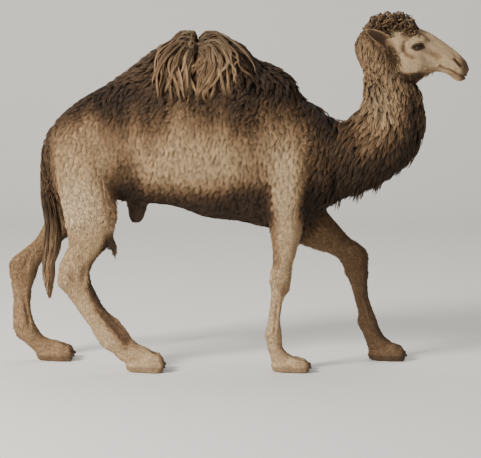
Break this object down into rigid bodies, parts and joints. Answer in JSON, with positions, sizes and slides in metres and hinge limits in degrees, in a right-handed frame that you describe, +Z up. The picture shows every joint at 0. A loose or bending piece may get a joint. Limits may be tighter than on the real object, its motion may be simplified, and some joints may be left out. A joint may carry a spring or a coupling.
{
  "type": "dromedary camel, adult bull",
  "caption": "One-humped camel in a winter coat, walking, with long wool on the hump, neck and poll; a still, life-size model that stands on its own feet.",
  "frame": {"origin": "middle of the whole animal's box, on the floor it stands on", "axes": "+X towards the head, +Y to the animal's left, +Z up"},
  "size_m": [2.9028, 0.6316, 2.2401],
  "materials": {
    "coat_fawn": "short fawn hair, lying flat",
    "coat_pale": "short creamy hair of the face and legs",
    "coat_brown": "brown hair of middle length",
    "wool_brown": "long curly brown wool in locks",
    "wool_dark": "long coarse dark hair",
    "callus": "dry, cracked, horny skin",
    "nail": "dull dark horn",
    "eye": "wet, dark brown"
  },
  "bodies": {
    "root": {"chest_pad": "callus", "ear_left": "coat_brown", "ear_right": "coat_brown", "eye_left": "eye", "eye_right": "eye", "fore_left_cannon": "coat_pale", "fore_left_foot": "coat_pale", "fore_left_forearm": "coat_pale", "fore_right_cannon": "coat_pale", "fore_right_foot": "coat_pale", "fore_right_forearm": "coat_pale", "hair_cap": "wool_brown", "head": "coat_pale", "hind_left_cannon": "coat_pale", "hind_left_foot": "coat_pale", "hind_left_shank": "coat_pale", "hind_left_thigh": "coat_fawn", "hind_right_cannon": "coat_pale", "hind_right_foot": "coat_pale", "hind_right_shank": "coat_pale", "hind_right_thigh": "coat_fawn", "hump": "wool_brown", "hump_mop": "wool_brown", "lower_jaw": "coat_pale", "nail_fore_left_a": "nail", "nail_fore_left_b": "nail", "nail_fore_right_a": "nail", "nail_fore_right_b": "nail", "nail_hind_left_a": "nail", "nail_hind_left_b": "nail", "nail_hind_right_a": "nail", "nail_hind_right_b": "nail", "neck_lower": "wool_brown", "neck_upper": "coat_brown", "sheath": "coat_brown", "tail": "coat_brown", "tail_tassel": "wool_dark", "trunk": "coat_fawn"}
  },
  "joints": []
}
